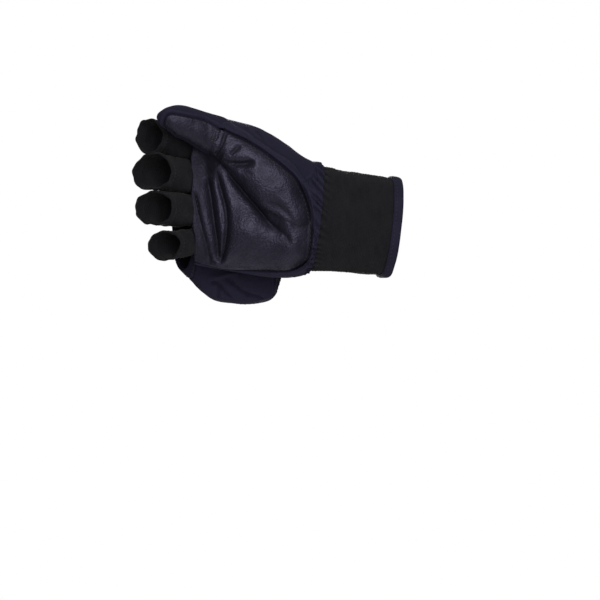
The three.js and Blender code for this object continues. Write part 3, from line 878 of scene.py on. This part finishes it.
wrist = {
    # the same columns as the hand's, so that it goes on from there
    "sections": [
        (-1, 38, -5.5, -38, 23.5, 24, 5.5, 0),
        (4.3, 36.6, -3.8, -37.4, 24.5, 25, 5, 1),
        (11, 35.8, 3.4, -37.4, 25, 25.6, 5, 1.8),
        (24, 33.5, 17, -38, 26.5, 27, 4.5, 4),
        (58, 28.4, 50.6, -40.6, 29, 30, 4, 10),
    ],
    "gathers": 38,
    "gatherDepth": 3.2,
    "gatherLean": 0.021,  # how far the pleats turn round the wrist in each mm
    "gatherWall": 1.4,
    # wear row, with painted shade in the hollows of the gathers
    "gatherWearAndShade": (0.45, 1.2, 3, 0.2, 8.0, 31),
    # where the gathers begin on the palm side: z, x
    "gatherStart": [(-40, -8), (-25, -2.5), (-10, -1.5), (10, -4.5), (22, -6), (29, 0.5), (40, 0.5)],
    "cuffWall": 1.2,
    "cuffInset": 2.0,
    "cuffRibs": (1.9, 0.1),  # apart, height
    # wear row, with painted shade in the hollows of the cuff
    "cuffWearAndShade": (0.4, 1.5, 3, 0.2, 9.0, 34),
    "bindingWidth": 7.0,
    "bindingWall": 1.4,
    "bindingCrown": 0.35,
    "bindingGap": 0.15,
    "bindingWear": (0.5, 0, 1, 0.3, 6.0, 36),
}
wristEnd = len(wrist["sections"]) - 1
lastSpan = wrist["sections"][-1][0] - wrist["sections"][-2][0]
wristTube = partial(plainTube, wrist["sections"])


# Uneven pleats round the wrist, 1 on a crest and 0 in a fold
def pleats(angle, count, seed):
    rng = random.Random(seed)
    widths = np.array([rng.uniform(0.4, 1.7) for _ in range(count)])
    edges = np.concatenate([[0], np.cumsum(widths)]) / widths.sum() * 2 * math.pi
    heights = np.array([rng.uniform(0.45, 1.0) for _ in range(count)])
    turn = np.mod(angle, 2 * math.pi)
    which = np.clip(np.searchsorted(edges, turn, side="right") - 1, 0, count - 1)
    f = (turn - edges[which]) / (edges[which + 1] - edges[which])
    return heights[which] * np.sin(math.pi * np.clip(f, 0, 1)) ** 1.2


# The gathers start on palm and back and deepen to the elastic; they draw together at mid height
def gatherRelief(points, angles, front):
    x, z = points[..., 0], points[..., 2]
    heights, starts = np.array(wrist["gatherStart"]).T
    onPalm = smoothStep(-0.2, 0.3, front)
    start = np.interp(z, heights, starts) * onPalm - 4 * (1 - onPalm)
    draw = np.clip((x + 6) / 12, 0, 1.2)
    phase = angles - 0.16 * draw * np.sin(2 * angles) - wrist["gatherLean"] * (x - 4)
    rise = smoothStep(0, 7, x - start)
    return (pleats(phase, wrist["gathers"], 5) - 0.45) * wrist["gatherDepth"] * rise


# The cuff's slow waves, which its binding shares
def cuffWaves(points):
    return crumple(points, 17.0, 32) * 0.8 + crumple(points * np.array([1.6, 0.7, 0.7]), 5.0, 33) * 0.28


def makeWrist():
    points, tGrid, angles = tubeGrid(wristTube, np.linspace(0, 1.02, 26), 420)
    front = sectionPoints(wrist["sections"], tGrid, angles)[3]
    arc = smoothStep(20, 27, points[..., 2]) * smoothStep(-0.1, 0.3, front)
    # a sewn groove where the band starts, deepest beside the palm's ridge
    joint = 1.1 * np.exp(-(((points[..., 0] - points[:1, :, 0]) / 0.7) ** 2)) * (0.25 + 0.75 * arc)
    relief = gatherRelief(points, angles, front) - joint + crumple(points, 4.0, 30) * 0.15
    points = raised(points, relief)
    patch = tubePatch(points, wearAndShadeAt(points, *wrist["gatherWearAndShade"]), rims=(0.1, 0.9))
    band = wallPiece("wristGather", patch, wrist["gatherWall"], finishes["softshell"])

    ts = np.concatenate([np.linspace(0.45, 3, 42), np.linspace(3, wristEnd, 52)[1:]])
    points, tGrid, angles = tubeGrid(wristTube, ts, 300)
    front = sectionPoints(wrist["sections"], tGrid, angles)[3]
    fade = 1 - smoothStep(0.9, 2.2, tGrid)
    apart, height = wrist["cuffRibs"]
    ribs = height * np.sin(points[..., 0] * 2 * math.pi / apart) * smoothStep(1.0, 1.1, tGrid)
    relief = gatherRelief(points, angles, front) * 0.7 * fade + cuffWaves(points) * (1 - fade)
    points = raised(points, relief + ribs - wrist["cuffInset"])
    patch = tubePatch(points, wearAndShadeAt(points, *wrist["cuffWearAndShade"]))
    cuff = wallPiece("wristCuff", patch, wrist["cuffWall"], finishes["knit"])

    start, end = wristEnd - wrist["bindingWidth"] / lastSpan, wristEnd + 0.02
    points, tGrid, angles = tubeGrid(wristTube, np.linspace(start, end, 20), 300)
    crown = wrist["bindingCrown"] * np.sin(math.pi * (tGrid - start) / (end - start))
    relief = cuffWaves(points) + crown + wrist["bindingWall"] + wrist["bindingGap"] - wrist["cuffInset"]
    points = raised(points, relief)
    patch = tubePatch(points, wearAndShadeAt(points, *wrist["bindingWear"]))
    binding = wallPiece("cuffBinding", patch, wrist["bindingWall"], finishes["softshell"])
    return band, cuff, binding


palmPanel, backShell = makeHand()
print("mitten: palm and back made")
wristGather, wristCuff, cuffBinding = makeWrist()
print("mitten: wrist made")


# Thumb: leather pad in front, softshell round the back

thumb = {
    # x, z, y, half width, half depth
    "sections": [
        (-49, 45.5, -14, 10, 10),
        (-61.2, 52.1, -18.8, 12.8, 12.4),
        (-70.1, 55.6, -24, 12, 11.6),
        (-79.5, 59.1, -29, 10.6, 11),
        (-86.5, 61.6, -32, 9.9, 10),
        (-92.5, 62.6, -34, 7.5, 8.4),
        (-97, 62.6, -35, 4.8, 5.8),
        (-99.6, 62.4, -35.4, 2.5, 3.2),
        (-100.4, 62.3, -35.5, 0.4, 0.4),
    ],
    "wall": 2.0,
    # edge of the pad: x, z
    "seam": [
        (-40, 48), (-50, 51.8), (-58.9, 56), (-64, 58.9), (-70, 61.8), (-76.2, 62.6), (-81.4, 63.4),
        (-85.9, 64.1), (-89.7, 64.7), (-92.9, 64.1), (-95.1, 61.5), (-96.3, 57.6), (-97.5, 53), (-99, 46),
    ],
    # route, half widths, depth, fade
    "creases": [
        ([(-67.2, 61), (-67.8, 53.1), (-68.9, 45)], 1.8, 2.0, 0.9, 0.3),
        ([(-75, 62), (-76.4, 56), (-77.5, 49)], 1.8, 1.8, 0.4, 0.3),
        ([(-84, 63), (-85.5, 58), (-86, 53)], 2.0, 2.0, 0.3, 0.3),
    ],
    # the join to the palm: route, half widths, depth, fade
    "join": ([(-54.5, 55.5), (-56.2, 53.7), (-58.1, 47.1), (-60.7, 42.6), (-63, 39.5)], 0.9, 1.1, 1.5, 0.1),
    "grain": [(6.0, 11, 0.3), (2.6, 12, 0.12)],
    "drape": [(8.0, 13, 0.45)],
    # wear row, with painted shade in the hollows of the thumb
    "wearAndShade": (0.5, 1.5, 3, 0.25, 8.0, 14),
}
thumbEnd = len(thumb["sections"]) - 1
padSeam = smoothRoute(thumb["seam"], 8)


def thumbSurface(t, angle, detailed=False):
    x, z, y, width, depth = blendRows(thumb["sections"], t)
    ahead = blendRows(thumb["sections"], np.minimum(t + 0.05, thumbEnd))
    behind = blendRows(thumb["sections"], np.maximum(t - 0.05, 0))
    alongX, alongZ = ahead[0] - behind[0], ahead[1] - behind[1]
    length = np.maximum(np.hypot(alongX, alongZ), 1e-6)
    up, front = np.cos(angle) * width, np.sin(angle)
    px, pz = x + alongZ / length * up, z - alongX / length * up
    dent = 0.0
    if detailed:
        creases = creaseDepth([*thumb["creases"], thumb["join"]], px, pz)
        dent = creases * smoothStep(0.1, 0.6, front)
    return np.stack([px, y - front * depth + dent, pz], -1)


def padSide(points, t, angle):
    away, side, _ = nearestOnRoute(padSeam, points[..., 0], points[..., 2])
    depth = blendRows(thumb["sections"], t)[4]
    return np.minimum(np.where(side < 0, -away, away), (np.sin(angle) + 0.05) * depth)


def makeThumb():
    ts = np.concatenate([np.linspace(0.3, 4.5, 62), np.linspace(4.5, thumbEnd, 56)[1:]])
    points, tGrid, angles = tubeGrid(thumbSurface, ts, 150)
    side = padSide(points, tGrid, angles)
    points = thumbSurface(tGrid, angles, True)
    distance = seamDistance(side, points)
    onPad = smoothStep(-1, 1, side)
    relief = seamRelief(distance, 1.0, 0.6, 0.75 - 0.6 * onPad) - 0.7 * np.exp(-distance / 3) * onPad
    relief += crumples(points, thumb["grain"]) * onPad + crumples(points, thumb["drape"]) * (1 - onPad)
    relief *= 1 - smoothStep(thumbEnd - 2.2, thumbEnd - 0.3, tGrid)
    points = raised(points, relief)
    patch = tubePatch(points, wearAndShadeAt(points, *thumb["wearAndShade"]), closedEnd=True)
    leather, cloth = partPatch(patch, side)
    pad = wallPiece("thumbPad", leather, thumb["wall"], finishes["leather"])
    back = wallPiece("thumbBack", cloth, thumb["wall"], finishes["softshell"])
    return pad, back


thumbPad, thumbBack = makeThumb()
print("mitten: thumb made")


# Opens palm and back where the thumb starts, and trims the thumb to them
def joinThumb():
    points, _, _ = tubeGrid(handSurface, np.linspace(0, handEnd, 90), 140)
    handSolid = closedSolid("handSolid", raised(points, -0.6))
    points, _, _ = tubeGrid(thumbSurface, np.linspace(0.1, 4.0, 30), 48)
    thumbHollow = closedSolid("thumbHollow", raised(points, -thumb["wall"]))
    for piece in (thumbPad, thumbBack):
        cutAway(piece, handSolid)
    for piece in (palmPanel, backShell):
        cutAway(piece, thumbHollow)
    for helper in (handSolid, thumbHollow):
        bpy.data.objects.remove(helper)


joinThumb()
print("mitten: thumb joined to the hand")


# Finger stalls: short black stretch tubes with a hem round each mouth

stalls = {
    "baseX": -75.5,
    "squareness": 3.4,
    "wall": 1.2,
    "hem": 4.2,  # its width
    "hemThick": 0.4,
    "wave": 0.03,  # how uneven the mouths are
    # node, name, base z, base half width and depth, mouth x, y, z, radius, how far the back stands past
    # the front, seed
    "fingers": [
        ("index_stall", "indexStall", 46.6, 9.4, 9.0, -107.5, -15, 53.1, 11, 5.5, 20),
        ("middle_stall", "middleStall", 26.6, 11.0, 10.8, -105, -19, 29.6, 12, 8, 25),
        ("ring_stall", "ringStall", 5.2, 11.0, 10.8, -103.5, -19, 5.4, 11.5, 7.5, 30),
        ("little_stall", "littleStall", -14.6, 9.2, 8.6, -97, -16, -19.4, 9.6, 6.5, 35),
    ],
}


def stallSurface(finger, t, angle):
    _, _, baseZ, baseWidth, baseDepth, mouthX, mouthY, mouthZ, radius, slant, seed = finger
    ripple = np.sin(2 * angle + seed) + 0.7 * np.sin(5 * angle + 2.1 * seed)
    ripple = ripple + 0.35 * np.sin(11 * angle + seed)
    t = t * (1 + stalls["wave"] * t * t * ripple / 2)
    bend = t * t * (1.6 - 0.6 * t)
    openUp = smoothStep(0.15, 0.8, t)
    lean = math.atan2(-mouthY, stalls["baseX"] - mouthX) * t
    width = baseWidth + (radius - baseWidth) * openUp
    depth = baseDepth + (radius - baseDepth) * openUp
    squareness = stalls["squareness"] + (2 - stalls["squareness"]) * openUp
    front = squared(np.sin(angle), squareness)
    forward = front * depth
    along = -front * slant * t
    x = stalls["baseX"] + (mouthX - stalls["baseX"]) * t + forward * np.sin(lean) - along * np.cos(lean)
    y = mouthY * bend - forward * np.cos(lean) - along * np.sin(lean)
    z = baseZ + (mouthZ - baseZ) * t + squared(np.cos(angle), squareness) * width
    return np.stack([x, y, z], -1)


def makeStall(finger):
    name, seed = finger[1], finger[-1]
    points, tGrid, _ = tubeGrid(partial(stallSurface, finger), np.linspace(0, 1, 66), 112)
    length = np.linalg.norm(points[-1].mean(0) - points[0].mean(0))
    fromMouth = (1 - tGrid) * length
    hem = stalls["hemThick"] * smoothStep(stalls["hem"] + 0.5, stalls["hem"] - 0.3, fromMouth)
    groove = 0.4 * np.exp(-(((fromMouth - stalls["hem"]) / 0.4) ** 2))
    squash = crumple(points * np.array([1.4, 0.5, 0.5]), 5.5, seed) * 0.9
    squash += crumples(points, [(10.0, seed + 1, 0.9), (2.6, seed + 2, 0.1)])
    points = raised(points, hem - groove + squash * smoothStep(0.0, 5.0, length - fromMouth))
    # wear with painted shade in the hollows of the stall
    wearAndShade = wearAndShadeAt(points, 0.4, 1.5, 3, 0.25, 6.0, seed + 3)
    return wallPiece(name, tubePatch(points, wearAndShade), stalls["wall"], finishes["knit"])


stallPieces = [makeStall(finger) for finger in stalls["fingers"]]
print("mitten: finger stalls made")


# Hood, folded back: softshell side on the back, leather side away from it, rim band and lining

hood = {
    # x, top z, low z, near y, far y, how far the near side stands towards the cuff
    "sections": [
        (-88.5, 36, -34.5, 15.5, 37, 8),
        (-82, 43, -42, 16.6, 38, 5),
        (-75, 47, -49.5, 18.6, 38.5, 2.5),
        (-67, 49, -54.8, 20, 38.5, 1),
        (-56, 50, -56.8, 21, 38, 0),
        (-45, 49.5, -57.6, 21.6, 37.4, 0),
        (-35, 47, -56.6, 22.2, 36.6, 0),
        (-28, 42, -54.2, 22.8, 35.8, 0),
        (-23.5, 35, -48.5, 23.8, 34.8, 0),
        (-20.5, 27, -39, 25.2, 33.4, 0),
        (-18.5, 18, -28, 27.6, 31.4, 0),
        (-18.1, 15, -25, 29.3, 29.7, 0),
    ],
    "squareness": 3.2,
    "frontSquareness": 2.2,
    "wall": 2.0,
    "rimRow": 0.8,
    "rimPuckers": (64, 0.45),  # how many, height
    "seamY": 27.8,
    "crownX": -25.0,  # the leather wraps round the crown from here
    "columns": 250,
    "liningWall": 1.0,
    "liningGap": 1.0,
    # folds of the near side: route, half widths, depth (below 0 stands up), fade
    "creases": [
        ([(-72, -41.5), (-62, -38.5), (-56.1, -37), (-49, -36.7)], 1.2, 1.8, -1.7, 0.3),
        ([(-59.5, -38.8), (-52.6, -44.6), (-45.8, -50.1), (-36.8, -52.9), (-31, -55.4)], 0.9, 2.0, 2.1, 0.2),
        ([(-70, -41.9), (-63.7, -43.9), (-60.2, -48.8), (-54, -54.6)], 0.9, 1.8, 2.0, 0.2),
        ([(-63, -44.0), (-63.7, -50.1), (-65.7, -56)], 0.9, 1.0, 1.5, 0.3),
        ([(-46, -46), (-44, -52), (-45, -57)], 2.0, 2.0, 0.6, 0.3),
    ],
    # wide folds of the far side: route, half widths, depth, fade
    "farCreases": [
        ([(-80, 26), (-66, 18), (-54, 4), (-46, -14)], 5.0, 7.0, 1.6, 0.3),
        ([(-78, -20), (-64, -16), (-50, -18), (-38, -28)], 4.0, 6.0, 1.3, 0.3),
        ([(-70, 40), (-56, 34), (-42, 30), (-32, 22)], 4.0, 5.0, 1.0, 0.3),
        ([(-60, -48), (-50, -38), (-36, -34)], 4.0, 4.0, 0.8, 0.3),
    ],
    "drape": [(15.0, 41, 0.9), (5.0, 42, 0.2)],
    "grain": [(16.0, 43, 1.2), (6.0, 44, 0.35), (2.6, 45, 0.12)],
    # wear rows of the hood and its rim, with painted shade in their hollows; the lining's row has none
    "wearAndShade": (0.6, 1.3, 4, 0.25, 11.0, 46),
    "rimWearAndShade": (0.5, 2, 2, 0.3, 6.0, 47),
    "liningWear": (0.3, 0, 1, 0.2, 8.0, 49),
}
hoodEnd = len(hood["sections"]) - 1


def hoodSurface(t, angle):
    x, topZ, lowZ, near, far, slant = blendRows(hood["sections"], t)
    up = squared(np.cos(angle), hood["squareness"])
    front = squared(np.sin(angle), hood["frontSquareness"])
    depth = (far - near) / 2
    z = (topZ + lowZ) / 2 + (topZ - lowZ) / 2 * up
    return np.stack([x + slant * front, near + depth - depth * front, z], -1)


def makeHood():
    ts = np.concatenate([np.linspace(hood["rimRow"] + 0.03, 7, 88), np.linspace(7, hoodEnd, 50)[1:]])
    points, tGrid, angles = tubeGrid(hoodSurface, ts, hood["columns"])
    side = hood["seamY"] - points[..., 1] + 0.25 * np.sin(points[..., 0] / 9)
    side = np.minimum(side, hood["crownX"] - points[..., 0])
    distance = seamDistance(side, points)
    onNear = smoothStep(-1, 1, side)
    x, z = points[..., 0], points[..., 2]
    relief = seamRelief(distance, 1.0, 0.7, 0.35)
    relief += (crumples(points, hood["drape"]) - creaseDepth(hood["creases"], x, z)) * onNear
    farRelief = crumples(points, hood["grain"]) - creaseDepth(hood["farCreases"], x, z)
    relief += farRelief * (1 - onNear) * smoothStep(0, 4, distance)
    relief *= smoothStep(0, 1.4, hoodEnd - tGrid)
    points = raised(points, relief)
    patch = tubePatch(points, wearAndShadeAt(points, *hood["wearAndShade"]), closedEnd=True, rims=(0.1, 0.1))
    cloth, leather = partPatch(patch, side)
    near = wallPiece("hoodBack", cloth, hood["wall"], finishes["softshell"])
    far = wallPiece("hoodPalm", leather, hood["wall"], finishes["leather"])

    points, tGrid, angles = tubeGrid(hoodSurface, np.linspace(0, hood["rimRow"], 20), 320)
    count, height = hood["rimPuckers"]
    across = np.sin(math.pi * np.clip(tGrid / hood["rimRow"], 0, 1)) ** 0.5
    edge = 0.8 * np.exp(-(((tGrid - hood["rimRow"]) / 0.07) ** 2))
    points = raised(points, pleats(angles, count, 8) * height * across - edge + 0.2)
    patch = tubePatch(points, wearAndShadeAt(points, *hood["rimWearAndShade"]), rims=(0.9, 0.1))
    rim = wallPiece("hoodRim", patch, hood["wall"], finishes["softshell"])

    points, _, _ = tubeGrid(hoodSurface, np.linspace(hood["rimRow"] * 0.4, hoodEnd - 1.5, 60), 160)
    points = raised(points, -(hood["wall"] + hood["liningGap"] + crumple(points, 9.0, 48) * 0.5))
    patch = tubePatch(points, wearAndShadeAt(points, *hood["liningWear"]))
    lining = wallPiece("hoodLining", patch, hood["liningWall"], finishes["lining"])
    return near, far, rim, lining


hoodBack, hoodPalm, hoodRim, hoodLining = makeHood()
print("mitten: hood made")


# Stitching, laid on the finished pieces

stitching = {
    "edge": 1.9,  # from a sewn edge to its row
    "palmFrom": -50,  # x where the palm's row starts
    "fingerEdge": (-77.2, 1.9, -27, 34),  # x of the row, its scallops, its lowest and highest z
    "tacks": {"rows": 4, "first": 1.4, "apart": 1.8, "lowest": 43.5, "highest": 54},
    # sizes of stitches: pitch, length and for the tacks their radius
    "tackSize": (1.8, 1.35, 0.3),
    "mouthIn": 3.6,  # from a stall's mouth to its row
    "stallSize": (2.4, 1.7),
    "hoodOval": (-53, -3, 60, 80),  # middle x, z, and how far it reaches in x and z
    "hoodFrom": -83,
    "bandSize": (2.8, 2.0),
}


# The nearest points of a piece to a path, and its outward direction there
def layOn(piece, path):
    points, normals = [], []
    for p in path:
        _, place, normal, _ = piece.closest_point_on_mesh(Vector(p) * mm)
        points.append(place / mm)
        normals.append(normal)
    return np.array(points), np.array(normals)


# Drops a path of x, z onto the palm side of a piece
def dropOn(piece, path):
    points, normals = [], []
    for x, z in path:
        hit, place, normal, _ = piece.ray_cast(Vector((x, -90, z)) * mm, Vector((0, 1, 0)))
        if hit and normal.y < -0.15:
            points.append(place / mm)
            normals.append(normal)
    return np.array(points), np.array(normals)


# A path that keeps the same distance from a route
def besideRoute(route, apart, step=0.7):
    run = np.concatenate([[0], np.cumsum(np.linalg.norm(np.diff(route, axis=0), axis=1))])
    at = np.arange(0, run[-1], step)
    path = np.stack([np.interp(at, run, route[:, i]) for i in (0, 1)], -1)
    along = np.gradient(path, axis=0)
    along /= np.linalg.norm(along, axis=1, keepdims=True)
    return path + np.stack([-along[:, 1], along[:, 0]], -1) * apart


# A closed path round a tube, a little outside it
def ringPath(surface, t, clear=1.5, count=240):
    points, _, _ = tubeGrid(surface, np.array([t - 0.01, t, t + 0.01]), count)
    ring = raised(points, clear)[1]
    return np.concatenate([ring, ring[:1]])


def makeAllStitches():
    bpy.context.view_layer.update()
    edge = stitching["edge"]
    made = []
    palmRow = besideRoute(palmSeam, edge)
    runs = [dropOn(palmPanel, palmRow[palmRow[:, 0] > stitching["palmFrom"]])]
    rowX, scallop, lowest, highest = stitching["fingerEdge"]
    rim = np.array([(rowX + scallop * fingerNotches(z), z) for z in np.arange(lowest, highest, 0.7)])
    runs.append(dropOn(palmPanel, rim))
    made.append((makeStitches("palmStitches", runs), "leather", palmPanel))

    tacks = stitching["tacks"]
    join = smoothRoute(thumb["join"][0], 8)
    join = join[(join[:, 1] > tacks["lowest"]) & (join[:, 1] < tacks["highest"])]
    places = [-(tacks["first"] + k * tacks["apart"]) for k in range(tacks["rows"])]
    runs = [dropOn(thumbPad, besideRoute(join, place)) for place in places]
    row = makeStitches("thumbTacks", runs, *stitching["tackSize"], thread="greyThread")
    made.append((row, "leather", thumbPad))

    for piece, finger in zip(stallPieces, stalls["fingers"]):
        length = abs(finger[5] - stalls["baseX"])
        ring = ringPath(partial(stallSurface, finger), 1 - stitching["mouthIn"] / length)
        row = makeStitches(finger[1] + "Stitches", [layOn(piece, ring)], *stitching["stallSize"])
        made.append((row, "stretch_knit", piece))

    # the hood's row is cast inward from an oval round it
    midX, midZ, reachX, reachZ = stitching["hoodOval"]
    middle = Vector((midX, hood["seamY"] + edge + 0.4, midZ))
    points, normals = [], []
    for turn in np.linspace(0, 2 * math.pi, 500):
        x = midX + reachX * math.sin(turn)
        start = Vector((x, middle.y, midZ + reachZ * math.cos(turn)))
        hit, place, normal, _ = hoodPalm.ray_cast(start * mm, (middle - start).normalized())
        if hit and x > stitching["hoodFrom"]:
            points.append(place / mm)
            normals.append(normal)
    row = makeStitches("hoodStitches", [(np.array(points), np.array(normals))])
    made.append((row, "leather", hoodPalm))

    ring = ringPath(hoodSurface, hood["rimRow"] - 0.16)
    row = makeStitches("hoodRimStitches", [layOn(hoodRim, ring)], *stitching["bandSize"])
    made.append((row, "softshell", hoodRim))
    ring = ringPath(wristTube, wristEnd - (wrist["bindingWidth"] - 1.3) / lastSpan, 1.0)
    row = makeStitches("bindingStitches", [layOn(cuffBinding, ring)], *stitching["bandSize"])
    made.append((row, "softshell", cuffBinding))
    return made


stitchPieces = makeAllStitches()
print("mitten: stitches made")


# Every piece rides on the one body and stands for its CAD node

standsFor = [
    (palmPanel, "palm_panel", "leather"),
    (backShell, "back_shell", "softshell"),
    (thumbPad, "thumb_pad", "leather"),
    (thumbBack, "thumb_back", "softshell"),
    *[(piece, finger[0], "stretch_knit") for piece, finger in zip(stallPieces, stalls["fingers"])],
    (wristGather, "wrist_gather", "softshell"),
    (wristCuff, "wrist_cuff", "stretch_knit"),
    (cuffBinding, "cuff_binding", "softshell"),
    (hoodBack, "hood_back", "softshell"),
    (hoodPalm, "hood_palm", "leather"),
    (hoodRim, "hood_rim", "softshell"),
    (hoodLining, "hood_lining", "lining"),
]

for piece, node, slot in standsFor:
    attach(piece, "root")
    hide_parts(node)

for row, slot, _ in stitchPieces:
    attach(row, "root")
